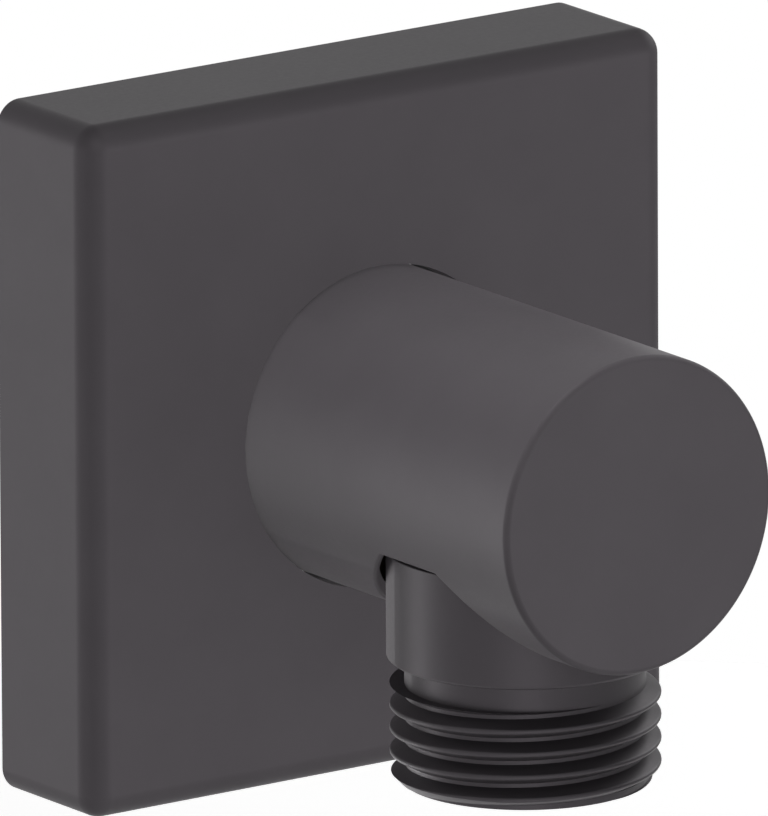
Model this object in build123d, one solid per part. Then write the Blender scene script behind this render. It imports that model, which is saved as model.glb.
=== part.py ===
from build123d import *

import os
from math import cos, radians

# Square wall outlet elbow for a shower hose.
# The origin is the centre of the plate's back, on the wall. +Z is up, the front faces -Y, and the inlet
# thread runs into the wall along +Y. "Forward" is a distance out from the wall, and sizes are millimetres.

# Pipe thread at the inlet and the outlet, each a plain cylinder at the crests
THREAD_DIAMETER = 20.955
THREAD_DEPTH = 1.16
THREAD_LEAD_IN = 1.1

# Outlet: collar, relief neck and hose thread, stacked downwards from the elbow's flat seat
SEAT_DROP = 3.5
GASKET_THICKNESS = 0.8
COLLAR_STEP = 0.22
COLLAR_LENGTH = 9.9
COLLAR_EDGE = 0.3
COLLAR_TOP_INSET = 0.5
COLLAR_TOP_GAP = 0.55
NECK_LENGTH = 2.1
HOSE_THREAD_LENGTH = 7.7
OUTLET_SPIGOT_RADIUS = 8.0
OUTLET_SPIGOT_LENGTH = 3.3
OUTLET_SPIGOT_BORE = 6.3
CARTRIDGE_BORE = 7.5
CARTRIDGE_STOP_DEPTH = 2.2
BORE_CHAMFER = 0.5

# Cover sleeve
OUTLET_HOLE_GAP = 0.85
OUTLET_HOLE_LIP = 1.0
OUTLET_HOLE_SHIFT = 0.6
OUTLET_HOLE_DROP = 5.0
SLEEVE_REACH = 46.0
SLEEVE_WALL = 1.0
SLEEVE_FRONT_WALL = 1.5
SLEEVE_FRONT_LAND = 2.85
SLEEVE_EDGE_RADIUS = 0.5
SLEEVE_BACK_GAP = 0.4

# Wall plate
PLATE_SIDE = 55.0
PLATE_DEPTH = 12.0
PLATE_WALL = 2.0
PLATE_EDGE_RADIUS = 2.0
HOLLOW_CORNER_RADIUS = 1.0
PLATE_HOLE_GAP = 0.25
BOSS_LENGTH = 3.6
BOSS_WALL = 2.8

# Inner elbow and its waterway
BODY_GAP = 0.15
BODY_FRONT_GAP = 0.3
BODY_CHAMFER = 0.8
SPOT_FACE_MARGIN = 0.6
SOCKET_RADIUS = 8.05
SOCKET_DEPTH = 15.4
WATERWAY_RADIUS = 3.5
WATERWAY_HEIGHT = 4.0
CHAMBER_RADIUS = 6.2
CHAMBER_RISE = 0.8
PORT_END_GAP = 0.4

# Wall nipple
INLET_THREAD_LENGTH = 14.0
SHOULDER_THICKNESS = 2.6
SHOULDER_STEP = 1.5
NIPPLE_BORE = 4.8
NIPPLE_HEX = 10.0
NIPPLE_HEX_DEPTH = 8.0
SPIGOT_END_GAP = 1.5
SPIGOT_CHAMFER = 0.5
LOCK_GROOVE_DEPTH = 0.7

# Lock screw, reached from below when the plate is slid forward
SCREW_RADIUS = 2.0
SCREW_FORWARD = 6.0
SCREW_SINK = 0.4
SCREW_DOG_RADIUS = 1.2
SCREW_DOG_LENGTH = 0.9
SCREW_HEX = 2.0
SCREW_HEX_DEPTH = 1.4
SCREW_WAY_GAP = 0.4
LOCK_GROOVE_MARGIN = 0.3

# Seals: section diameter, and the room left beside each ring in its groove
SEAL_SECTION = 1.1
SEAL_SIDE_ROOM = 0.35
NIPPLE_SEAL_REAR = 9.9
NIPPLE_SEAL_PITCH = 3.5
SLEEVE_SEAL_FORWARD = 12.6
PLATE_SEAL_SECTION = 1.3

# Check valve cartridge, stacked downwards from its stop in the outlet
SEAT_FLANGE = 1.0
SEAT_SPIGOT = 1.5
SEAT_OPENING = 4.2
HOUSING_LENGTH = 11.0
HOUSING_WALL = 1.6
HOUSING_SEAL_SECTION = 0.95
HOUSING_SEAL_DROP = 2.4
HUB_LENGTH = 1.8
HUB_WALL = 1.6
SPIDER_ARMS = 3
SPIDER_ARM_WIDTH = 1.2
SPIDER_ARM_HEIGHT = 1.6
POPPET_DISC_THICKNESS = 1.4
POPPET_DISC_RIM = 0.5
POPPET_SEAL_SECTION = 1.0
POPPET_NOSE_HEIGHT = 1.8
POPPET_NOSE_TIP = 2.4
POPPET_STEM_RADIUS = 1.3
POPPET_STEM_SINK = 0.3
SPRING_BOSS_RADIUS = 2.05
SPRING_BOSS_HEIGHT = 0.7
SPRING_WIRE = 0.4
SPRING_TURNS = 4.5

# Clearances
FIT_GAP = 0.05
CARTRIDGE_GAP = 0.1
SEAL_GAP = 0.025
SEAT_GAP = 0.05

# Radii that follow from the thread outwards
thread_radius = THREAD_DIAMETER / 2
root_radius = thread_radius - THREAD_DEPTH
collar_radius = thread_radius + COLLAR_STEP
collar_top_radius = collar_radius - COLLAR_TOP_INSET
hole_radius = collar_radius + OUTLET_HOLE_GAP
sleeve_radius = hole_radius + OUTLET_HOLE_LIP
sleeve_bore = sleeve_radius - SLEEVE_WALL
body_radius = sleeve_bore - BODY_GAP
plate_hole = sleeve_radius + PLATE_HOLE_GAP
boss_radius = plate_hole + BOSS_WALL
spot_face_radius = collar_radius + SPOT_FACE_MARGIN
spigot_radius = SOCKET_RADIUS - FIT_GAP
shoulder_radius = thread_radius + SHOULDER_STEP
lock_groove_radius = spigot_radius - LOCK_GROOVE_DEPTH

# Distances forward from the wall
sleeve_back = SHOULDER_THICKNESS + SLEEVE_BACK_GAP
hole_forward = SLEEVE_REACH - SLEEVE_FRONT_LAND - hole_radius
outlet_forward = hole_forward - OUTLET_HOLE_SHIFT
body_front = SLEEVE_REACH - SLEEVE_FRONT_WALL - BODY_FRONT_GAP
socket_end = SHOULDER_THICKNESS + SOCKET_DEPTH
spigot_end = socket_end - SPIGOT_END_GAP
plate_inner = PLATE_DEPTH - PLATE_WALL
boss_back = plate_inner - BOSS_LENGTH
plate_seal_forward = plate_inner - BOSS_LENGTH / 2

# Heights about the outlet
collar_top = -SEAT_DROP - GASKET_THICKNESS
collar_shoulder = -OUTLET_HOLE_DROP - COLLAR_TOP_GAP
collar_bottom = collar_top - COLLAR_LENGTH
neck_bottom = collar_bottom - NECK_LENGTH
outlet_end = neck_bottom - HOSE_THREAD_LENGTH
outlet_spigot_top = OUTLET_SPIGOT_LENGTH - SEAT_DROP
cartridge_top = collar_top - CARTRIDGE_STOP_DEPTH
housing_top = cartridge_top - SEAT_FLANGE
seat_face = housing_top - SEAT_SPIGOT
housing_bottom = housing_top - HOUSING_LENGTH
hub_top = housing_bottom + HUB_LENGTH
disc_top = seat_face - SEAT_GAP - POPPET_SEAL_SECTION - SEAL_GAP
disc_bottom = disc_top - POPPET_DISC_THICKNESS

# Radii in the cartridge
cartridge_radius = CARTRIDGE_BORE - CARTRIDGE_GAP
housing_bore = cartridge_radius - HOUSING_WALL
poppet_seal_radius = SEAT_OPENING + POPPET_SEAL_SECTION / 2 + SEAL_GAP
disc_radius = poppet_seal_radius + POPPET_DISC_RIM
stem_hole = POPPET_STEM_RADIUS + FIT_GAP
hub_radius = stem_hole + HUB_WALL
spring_radius = SPRING_BOSS_RADIUS + FIT_GAP + SPRING_WIRE / 2

BELOW = (Align.CENTER, Align.CENTER, Align.MAX)
ABOVE = (Align.CENTER, Align.CENTER, Align.MIN)


def turned_about_inlet(*profile):
    """Turn (forward, radius) points about the inlet's axis."""
    points = [(radius, -forward) for forward, radius in profile]
    return revolve(make_face(Polyline(*points, close=True)), Axis.Y)


def turned_about_outlet(*profile, forward=outlet_forward):
    """Turn (radius, height) points about an upright axis, the outlet's unless another is given."""
    face = Plane.XZ * make_face(Polyline(*profile, close=True))
    return Pos(0, -forward, 0) * revolve(face, Axis.Z)


def tube_about_inlet(inner, outer, back, front):
    """A plain ring about the inlet's axis, also used to cut a groove."""
    return turned_about_inlet((back, inner), (back, outer), (front, outer), (front, inner))


def ring_about_inlet(radius, section, forward):
    """A round seal about the inlet's axis."""
    return Pos(0, -forward, 0) * Rot(90, 0, 0) * Torus(radius, section / 2)


def seal_groove(inner, outer, section, forward):
    """The groove for a round seal about the inlet's axis."""
    half_width = section / 2 + SEAL_SIDE_ROOM
    return tube_about_inlet(inner, outer, forward - half_width, forward + half_width)


def upright_hole(radius, forward, height):
    """A cutter that runs down from a height past the sleeve's underside."""
    return Pos(0, -forward, height) * Cylinder(radius, height + 2 * sleeve_radius, align=BELOW)


def hex_section(across_flats):
    """A hexagon given by its width across flats."""
    return RegularPolygon(across_flats / 2 / cos(radians(30)), 6)


def escutcheon():
    """Square plate, hollow behind, with a boss round its hole that holds the plate seal."""
    back_edge = (Align.CENTER, Align.MAX, Align.CENTER)
    plate = Box(PLATE_SIDE, PLATE_DEPTH, PLATE_SIDE, align=back_edge)
    rounded = plate.edges().filter_by(Axis.Y) + plate.faces().sort_by(Axis.Y)[0].edges()
    plate = fillet(rounded, PLATE_EDGE_RADIUS)
    inner_side = PLATE_SIDE - 2 * PLATE_WALL
    hollow = Box(inner_side, plate_inner, inner_side, align=back_edge)
    hollow = fillet(hollow.edges().filter_by(Axis.Y), HOLLOW_CORNER_RADIUS)
    boss = tube_about_inlet(plate_hole, boss_radius, boss_back, plate_inner)
    hole = tube_about_inlet(0, plate_hole, 0, PLATE_DEPTH)
    groove_floor = sleeve_radius + PLATE_SEAL_SECTION + 2 * SEAL_GAP
    groove = seal_groove(plate_hole, groove_floor, PLATE_SEAL_SECTION, plate_seal_forward)
    return plate - hollow - hole + boss - groove


def plate_seal():
    """Ring in the plate's boss that grips the sleeve."""
    radius = sleeve_radius + SEAL_GAP + PLATE_SEAL_SECTION / 2
    return ring_about_inlet(radius, PLATE_SEAL_SECTION, plate_seal_forward)


def cover_sleeve():
    """Closed-ended tube, cut from below by a flat-topped outlet hole and by the lock screw's way."""
    inner_front = SLEEVE_REACH - SLEEVE_FRONT_WALL
    sleeve = turned_about_inlet(
        (sleeve_back, sleeve_bore),
        (sleeve_back, sleeve_radius),
        (SLEEVE_REACH, sleeve_radius),
        (SLEEVE_REACH, 0),
        (inner_front, 0),
        (inner_front, sleeve_bore),
    )
    front_edge = sleeve.faces().sort_by(Axis.Y)[0].edges()
    sleeve = fillet(front_edge, SLEEVE_EDGE_RADIUS)
    sleeve -= upright_hole(hole_radius, hole_forward, -OUTLET_HOLE_DROP)
    return sleeve - upright_hole(SCREW_RADIUS + SCREW_WAY_GAP, SCREW_FORWARD, 0)


def elbow_body():
    """Solid barrel with a rear socket, a raised waterway and a flat seat and port for the outlet."""
    body = tube_about_inlet(0, body_radius, SHOULDER_THICKNESS, body_front)
    body = chamfer(body.faces().sort_by(Axis.Y)[0].edges(), BODY_CHAMFER)
    body -= tube_about_inlet(0, SOCKET_RADIUS, SHOULDER_THICKNESS, socket_end)
    chamber_top = WATERWAY_HEIGHT + WATERWAY_RADIUS + CHAMBER_RISE
    body -= upright_hole(CHAMBER_RADIUS, outlet_forward, chamber_top)
    body -= upright_hole(OUTLET_SPIGOT_RADIUS + FIT_GAP, outlet_forward, outlet_spigot_top + PORT_END_GAP)
    body -= upright_hole(spot_face_radius, outlet_forward, -SEAT_DROP)
    waterway = Cylinder(WATERWAY_RADIUS, outlet_forward - spigot_end, align=ABOVE)
    body -= Pos(0, -spigot_end, WATERWAY_HEIGHT) * Rot(90, 0, 0) * waterway
    body -= upright_hole(SCREW_RADIUS + FIT_GAP, SCREW_FORWARD, 0)
    groove_floor = sleeve_bore - SEAL_SECTION - 2 * SEAL_GAP
    return body - seal_groove(groove_floor, sleeve_bore, SEAL_SECTION, SLEEVE_SEAL_FORWARD)


def sleeve_seal():
    """Ring on the elbow that keeps the sleeve from rattling."""
    radius = sleeve_bore - SEAL_GAP - SEAL_SECTION / 2
    return ring_about_inlet(radius, SEAL_SECTION, SLEEVE_SEAL_FORWARD)


def nipple_seal_forwards():
    """Where the wall nipple's two seals lie."""
    return NIPPLE_SEAL_REAR, NIPPLE_SEAL_REAR + NIPPLE_SEAL_PITCH


def wall_nipple():
    """Thread for the wall, shoulder, and a spigot with a lock groove, two seal grooves and a hexagon."""
    nipple = turned_about_inlet(
        (-INLET_THREAD_LENGTH, NIPPLE_BORE),
        (-INLET_THREAD_LENGTH, thread_radius - THREAD_LEAD_IN),
        (THREAD_LEAD_IN - INLET_THREAD_LENGTH, thread_radius),
        (0, thread_radius),
        (0, shoulder_radius),
        (SHOULDER_THICKNESS, shoulder_radius),
        (SHOULDER_THICKNESS, spigot_radius),
        (spigot_end - SPIGOT_CHAMFER, spigot_radius),
        (spigot_end, spigot_radius - SPIGOT_CHAMFER),
        (spigot_end, NIPPLE_BORE),
    )
    half_groove = SCREW_DOG_RADIUS + LOCK_GROOVE_MARGIN
    groove_span = (SCREW_FORWARD - half_groove, SCREW_FORWARD + half_groove)
    nipple -= tube_about_inlet(lock_groove_radius, SOCKET_RADIUS, *groove_span)
    groove_floor = SOCKET_RADIUS - SEAL_SECTION - 2 * SEAL_GAP
    for forward in nipple_seal_forwards():
        nipple -= seal_groove(groove_floor, SOCKET_RADIUS, SEAL_SECTION, forward)
    hexagon = extrude(hex_section(NIPPLE_HEX), NIPPLE_HEX_DEPTH)
    return nipple - Pos(0, -spigot_end, 0) * Rot(-90, 0, 0) * hexagon


def nipple_seal(forward):
    """One of the rings on the wall nipple's spigot."""
    radius = SOCKET_RADIUS - SEAL_GAP - SEAL_SECTION / 2
    return ring_about_inlet(radius, SEAL_SECTION, forward)


def lock_screw():
    """Grub screw whose dog stands in the nipple's lock groove."""
    dog_tip = -(lock_groove_radius + FIT_GAP)
    dog_root = dog_tip - SCREW_DOG_LENGTH
    outer_end = SCREW_SINK - body_radius
    screw = turned_about_outlet(
        (0, dog_tip),
        (SCREW_DOG_RADIUS, dog_tip),
        (SCREW_DOG_RADIUS, dog_root),
        (SCREW_RADIUS, dog_root),
        (SCREW_RADIUS, outer_end),
        (0, outer_end),
        forward=SCREW_FORWARD,
    )
    socket = extrude(hex_section(SCREW_HEX), SCREW_HEX_DEPTH)
    return screw - Pos(0, -SCREW_FORWARD, outer_end) * socket


def outlet_gasket():
    """Flat ring between the elbow's seat and the outlet's collar."""
    inner = OUTLET_SPIGOT_RADIUS + FIT_GAP
    outer = collar_top_radius
    return turned_about_outlet(
        (inner, -SEAT_DROP), (outer, -SEAT_DROP), (outer, collar_top), (inner, collar_top)
    )


def outlet_nipple():
    """Spigot, stepped collar, relief neck and hose thread, bored from below for the check valve."""
    nipple = turned_about_outlet(
        (OUTLET_SPIGOT_BORE, outlet_spigot_top),
        (OUTLET_SPIGOT_RADIUS, outlet_spigot_top),
        (OUTLET_SPIGOT_RADIUS, collar_top),
        (collar_top_radius, collar_top),
        (collar_top_radius, collar_shoulder),
        (collar_radius, collar_shoulder),
        (collar_radius, collar_bottom + COLLAR_EDGE),
        (collar_radius - COLLAR_EDGE, collar_bottom),
        (root_radius, collar_bottom),
        (root_radius, neck_bottom),
        (thread_radius, neck_bottom),
        (thread_radius, outlet_end + THREAD_LEAD_IN),
        (thread_radius - THREAD_LEAD_IN, outlet_end),
        (CARTRIDGE_BORE + BORE_CHAMFER, outlet_end),
        (CARTRIDGE_BORE, outlet_end + BORE_CHAMFER),
        (CARTRIDGE_BORE, cartridge_top),
        (OUTLET_SPIGOT_BORE, cartridge_top),
    )
    return nipple


def check_valve_seat():
    """Flanged ring at the top of the cartridge, with the seat on its underside."""
    spigot = housing_bore - FIT_GAP
    return turned_about_outlet(
        (SEAT_OPENING, cartridge_top),
        (cartridge_radius, cartridge_top),
        (cartridge_radius, housing_top),
        (spigot, housing_top),
        (spigot, seat_face),
        (SEAT_OPENING, seat_face),
    )


def check_valve_housing():
    """Tube with a seal groove outside and a spider at its foot that guides the poppet's stem."""
    half_groove = HOUSING_SEAL_SECTION / 2 + SEAL_SIDE_ROOM
    groove_floor = CARTRIDGE_BORE - HOUSING_SEAL_SECTION - 2 * SEAL_GAP
    groove_height = housing_top - HOUSING_SEAL_DROP
    housing = turned_about_outlet(
        (housing_bore, housing_top),
        (cartridge_radius, housing_top),
        (cartridge_radius, groove_height + half_groove),
        (groove_floor, groove_height + half_groove),
        (groove_floor, groove_height - half_groove),
        (cartridge_radius, groove_height - half_groove),
        (cartridge_radius, housing_bottom),
        (housing_bore, housing_bottom),
    )
    arm_length = housing_bore + HOUSING_WALL / 2
    arm = Box(arm_length, SPIDER_ARM_WIDTH, SPIDER_ARM_HEIGHT, align=(Align.MIN, Align.CENTER, Align.MIN))
    spider = Cylinder(hub_radius, HUB_LENGTH, align=ABOVE)
    for turn in range(SPIDER_ARMS):
        spider += Rot(0, 0, 90 + turn * 360 / SPIDER_ARMS) * arm
    spider -= Cylinder(stem_hole, HUB_LENGTH, align=ABOVE)
    return housing + Pos(0, -outlet_forward, housing_bottom) * spider


def check_valve_seal():
    """Ring round the cartridge."""
    radius = CARTRIDGE_BORE - SEAL_GAP - HOUSING_SEAL_SECTION / 2
    height = housing_top - HOUSING_SEAL_DROP
    return Pos(0, -outlet_forward, height) * Torus(radius, HOUSING_SEAL_SECTION / 2)


def check_valve_poppet():
    """Tapered nose, disc that carries the seal, boss that centres the spring, and guided stem."""
    nose_radius = SEAT_OPENING
    nose_top = disc_top + POPPET_NOSE_HEIGHT
    stem_end = housing_bottom + POPPET_STEM_SINK
    boss_bottom = disc_bottom - SPRING_BOSS_HEIGHT
    return turned_about_outlet(
        (0, nose_top),
        (POPPET_NOSE_TIP, nose_top),
        (nose_radius, disc_top + POPPET_SEAL_SECTION / 2),
        (nose_radius, disc_top),
        (disc_radius, disc_top),
        (disc_radius, disc_bottom),
        (SPRING_BOSS_RADIUS, disc_bottom),
        (SPRING_BOSS_RADIUS, boss_bottom),
        (POPPET_STEM_RADIUS, boss_bottom),
        (POPPET_STEM_RADIUS, stem_end),
        (0, stem_end),
    )


def poppet_seal():
    """Ring on the poppet's disc that closes on the seat."""
    height = seat_face - SEAT_GAP - POPPET_SEAL_SECTION / 2
    return Pos(0, -outlet_forward, height) * Torus(poppet_seal_radius, POPPET_SEAL_SECTION / 2)


def check_valve_spring():
    """Coil between the poppet's disc and the spider's hub."""
    foot = hub_top + SEAL_GAP + SPRING_WIRE / 2
    rise = disc_bottom - SEAL_GAP - SPRING_WIRE / 2 - foot
    coil = Helix(rise / SPRING_TURNS, rise, spring_radius)
    wire = Plane(coil @ 0, z_dir=coil % 0) * Circle(SPRING_WIRE / 2)
    return Pos(0, -outlet_forward, foot) * sweep(wire, coil, is_frenet=True)


rear_seal, front_seal = nipple_seal_forwards()
NODES = {
    "escutcheon": escutcheon(),
    "plate_seal": plate_seal(),
    "cover_sleeve": cover_sleeve(),
    "sleeve_seal": sleeve_seal(),
    "elbow_body": elbow_body(),
    "wall_nipple": wall_nipple(),
    "nipple_seal_rear": nipple_seal(rear_seal),
    "nipple_seal_front": nipple_seal(front_seal),
    "lock_screw": lock_screw(),
    "outlet_gasket": outlet_gasket(),
    "outlet_nipple": outlet_nipple(),
    "check_valve_seat": check_valve_seat(),
    "check_valve_housing": check_valve_housing(),
    "check_valve_seal": check_valve_seal(),
    "check_valve_poppet": check_valve_poppet(),
    "poppet_seal": poppet_seal(),
    "check_valve_spring": check_valve_spring(),
}

os.makedirs("parts", exist_ok=True)
for name, solid in NODES.items():
    export_step(solid, f"parts/{name}.step")
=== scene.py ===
import logging
import math
from dataclasses import dataclass
from enum import Enum
from typing import Callable, NamedTuple, Sequence

import bmesh
import bpy
from bmesh.types import BMesh
from mathutils import Matrix, Vector


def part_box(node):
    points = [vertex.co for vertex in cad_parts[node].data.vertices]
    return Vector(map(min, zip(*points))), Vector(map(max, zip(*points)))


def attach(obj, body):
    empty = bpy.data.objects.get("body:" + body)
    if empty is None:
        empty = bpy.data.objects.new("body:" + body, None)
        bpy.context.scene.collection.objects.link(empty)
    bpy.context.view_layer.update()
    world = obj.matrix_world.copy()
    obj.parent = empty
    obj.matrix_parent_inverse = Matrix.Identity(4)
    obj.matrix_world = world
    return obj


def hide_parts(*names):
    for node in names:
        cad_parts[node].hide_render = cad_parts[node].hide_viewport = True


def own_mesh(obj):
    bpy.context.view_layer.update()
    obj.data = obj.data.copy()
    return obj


# Wall outlet elbow for a shower hose, dressed for its picture.
# The frame is in metres: +Z is up, the front faces -Y, and the inlet thread runs into the wall
# along +Y.
# Sizes below are millimetres, and "forward" is a distance out from the wall.

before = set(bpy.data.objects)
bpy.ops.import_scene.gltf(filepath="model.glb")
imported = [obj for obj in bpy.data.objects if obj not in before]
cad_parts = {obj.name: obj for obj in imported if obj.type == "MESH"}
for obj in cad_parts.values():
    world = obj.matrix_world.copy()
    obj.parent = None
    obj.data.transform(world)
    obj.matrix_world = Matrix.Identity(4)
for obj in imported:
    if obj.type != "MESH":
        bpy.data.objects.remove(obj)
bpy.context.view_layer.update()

LOG = logging.getLogger("wall_outlet")
MM = 0.001
ORIGIN = (0.0, 0.0, 0.0)
UPRIGHT = (0.0, 0.0, 1.0)
WHITE = (1.0, 1.0, 1.0, 1.0)
# Segments of a full turn, and of the arc that rounds a corner
TURN_STEPS = 192
ARC_STEPS = 6
# Points nearer than this become one, and edges that turn by more than this stay sharp
MERGE_DISTANCE = 0.0004
SHARP_ANGLE = math.radians(31)
# How far a tool runs past what it cuts, and how near counts as the same place
OVERCUT = 1.0
NEAR = 0.01
# The share of an edge's length that lies along an axis it is parallel to
PARALLEL = 0.999
# How much more a large face counts than a small one where their shading meets
FLAT_WEIGHT = 100
# A wave texture's bands repeat each 2 pi / 20 of its own units
WAVE_UNIT = math.tau / 20
# A Mix node's colour sockets, which share their names with its other kinds
MIX_A, MIX_B, MIX_RESULT = 6, 7, 2


class Heading(Enum):
    """Which way a turned piece's own axis points in the frame, as degrees about X."""

    UP = 0.0
    OUT_FROM_WALL = 90.0
    INTO_WALL = -90.0

    @property
    def matrix(self) -> Matrix:
        """The turn that brings the piece's own +Z to this heading."""
        return Matrix.Rotation(math.radians(self.value), 4, "X")


class LatheAxis(Enum):
    """The axis that a brass piece was turned about."""

    UPRIGHT = "Z"
    LEVEL = "Y"


class Combine(Enum):
    """How a tool shape acts on a base shape."""

    ADD = "UNION"
    CUT = "DIFFERENCE"
    KEEP = "INTERSECT"


class Body(Enum):
    """The frame's body that a modelled piece rides on."""

    FITTING = "fitting"


class Slot(Enum):
    """The record's material slots, named here but given to no piece."""

    COAT = "black_coat"
    BRASS = "brass"
    STEEL = "steel"


class Corner(NamedTuple):
    """A corner of a turned outline, with the radius that rounds it."""

    radius: float
    height: float
    rounding: float = 0.0


def hex_to_linear(code: str) -> tuple[float, float, float, float]:
    """Turn an sRGB hex colour into linear light.

    Args:
        code: Colour such as "#4F4C4F".

    Returns:
        Red, green, blue and an alpha of one.
    """
    parts = [int(code[i : i + 2], 16) / 255 for i in (1, 3, 5)]
    linear = [c / 12.92 if c <= 0.04045 else ((c + 0.055) / 1.055) ** 2.4 for c in parts]
    return (*linear, 1.0)


def per_mm(size: float) -> float:
    """The texture scale whose features are this many millimetres."""
    return 1 / (size * MM)


def add_node(
    tree: bpy.types.NodeTree,
    kind: str,
    inputs: dict[str | int, object] | None = None,
    **settings: object,
) -> bpy.types.Node:
    """Add a node, set it up and link what feeds it.

    Args:
        tree: Node tree that gets the node.
        kind: Blender's name for the node.
        inputs: Input socket to a plain value, or to the output socket that feeds it.
        settings: The node's own properties.

    Returns:
        The new node.
    """
    node = tree.nodes.new(kind)
    for name, value in settings.items():
        setattr(node, name, value)
    for name, value in (inputs or {}).items():
        if isinstance(value, bpy.types.NodeSocket):
            tree.links.new(value, node.inputs[name])
        else:
            node.inputs[name].default_value = value
    return node


def new_material(name: str) -> tuple[bpy.types.Material, bpy.types.NodeTree]:
    """Start an empty node material.

    Args:
        name: The material's name.

    Returns:
        The material and its node tree.
    """
    material = bpy.data.materials.new(name)
    material.use_nodes = True
    material.node_tree.nodes.clear()
    return material, material.node_tree


def close_material(tree: bpy.types.NodeTree, shader: bpy.types.NodeSocket) -> None:
    """Feed a shader to the material's surface."""
    add_node(tree, "ShaderNodeOutputMaterial", {"Surface": shader})


@dataclass(frozen=True)
class Finish:
    """What every finish has: two shades, a span of roughness and the height of a fine relief."""

    name: str
    dark: str
    light: str
    roughness: tuple[float, float]
    relief_mm: float

    def started(self) -> tuple[bpy.types.Material, bpy.types.NodeTree, bpy.types.NodeSocket]:
        """The finish's empty material, its nodes, and the place that its patterns follow."""
        material, tree = new_material(self.name)
        return material, tree, add_node(tree, "ShaderNodeTexCoord").outputs["Object"]

    def close(
        self,
        tree: bpy.types.NodeTree,
        stain: bpy.types.Node,
        relief: bpy.types.Node,
        shading: dict[str, object],
    ) -> None:
        """Let one pattern tint the surface, and one set its gloss and its bumps.

        Args:
            tree: The material's nodes.
            stain: Pattern that runs from the dark shade to the light one.
            relief: Pattern of the roughness and the bumps.
            shading: The shader's other settings.
        """
        dark, light = hex_to_linear(self.dark), hex_to_linear(self.light)
        smooth, rough = self.roughness
        colour = add_node(
            tree,
            "ShaderNodeMix",
            {"Factor": stain.outputs["Fac"], MIX_A: dark, MIX_B: light},
            data_type="RGBA",
        )
        gloss = add_node(
            tree,
            "ShaderNodeMapRange",
            {"Value": relief.outputs["Fac"], "To Min": smooth, "To Max": rough},
        )
        bump = add_node(
            tree,
            "ShaderNodeBump",
            {"Height": relief.outputs["Fac"], "Distance": self.relief_mm * MM, "Strength": 1.0},
        )
        patterns = {
            "Base Color": colour.outputs[MIX_RESULT],
            "Roughness": gloss.outputs["Result"],
            "Normal": bump.outputs["Normal"],
        }
        shader = add_node(tree, "ShaderNodeBsdfPrincipled", patterns | shading)
        close_material(tree, shader.outputs["BSDF"])


@dataclass(frozen=True)
class MattBlackCoat(Finish):
    """Matt black polyester coat, sprayed as powder and baked on metal.

    To the eye it is a soft dark grey with a broad sheen, and close up a faint skin of low bumps.
    """

    name: str = "matt_black_coat"
    dark: str = "#413E41"
    light: str = "#474447"
    roughness: tuple[float, float] = (0.42, 0.5)
    relief_mm: float = 0.0035
    ior: float = 1.5
    shine: float = 0.08
    sheen_colour: str = "#FFF5FF"
    cloud_mm: float = 7.0
    skin_mm: float = 0.45

    def material(self) -> bpy.types.Material:
        """Build the coat's nodes."""
        material, tree, place = self.started()
        cloud = add_node(
            tree,
            "ShaderNodeTexNoise",
            {"Vector": place, "Scale": per_mm(self.cloud_mm), "Detail": 3.0, "Roughness": 0.55},
        )
        skin = add_node(
            tree,
            "ShaderNodeTexNoise",
            {"Vector": place, "Scale": per_mm(self.skin_mm), "Detail": 2.0, "Roughness": 0.5},
        )
        shading = {
            "IOR": self.ior,
            "Specular IOR Level": self.shine,
            "Specular Tint": hex_to_linear(self.sheen_colour),
        }
        self.close(tree, cloud, skin, shading)
        return material


@dataclass(frozen=True)
class TurnedBrass(Finish):
    """Bare brass from the lathe: warm yellow metal with fine rings from the tool.

    The rings are drawn coarser than a real feed mark so that they show.
    """

    name: str = "turned_brass_z"
    dark: str = "#A98648"
    light: str = "#C6A463"
    roughness: tuple[float, float] = (0.24, 0.36)
    relief_mm: float = 0.0015
    axis: LatheAxis = LatheAxis.UPRIGHT
    feed_mm: float = 0.22
    stain_mm: float = 5.0

    def material(self) -> bpy.types.Material:
        """Build the brass's nodes, with rings across its axis."""
        material, tree, place = self.started()
        stain = add_node(
            tree,
            "ShaderNodeTexNoise",
            {"Vector": place, "Scale": per_mm(self.stain_mm), "Detail": 4.0, "Roughness": 0.6},
        )
        ring_scale = WAVE_UNIT * per_mm(self.feed_mm)
        rings = add_node(
            tree,
            "ShaderNodeTexWave",
            {"Vector": place, "Scale": ring_scale, "Distortion": 0.4, "Detail": 1.0},
            bands_direction=self.axis.value,
        )
        self.close(tree, stain, rings, {"Metallic": 1.0})
        return material


@dataclass(frozen=True)
class GrainedSurface(Finish):
    """A material whose colour, gloss and height all follow one fine grain."""

    grain_mm: float
    metallic: float = 0.0
    ior: float = 1.5

    def material(self) -> bpy.types.Material:
        """Build the grain's nodes. A metal keeps the shader's own IOR."""
        material, tree, place = self.started()
        grain = add_node(
            tree,
            "ShaderNodeTexNoise",
            {"Vector": place, "Scale": per_mm(self.grain_mm), "Detail": 3.0},
        )
        shading = {"Metallic": self.metallic}
        if not self.metallic:
            shading["IOR"] = self.ior
        self.close(tree, grain, grain, shading)
        return material


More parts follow.
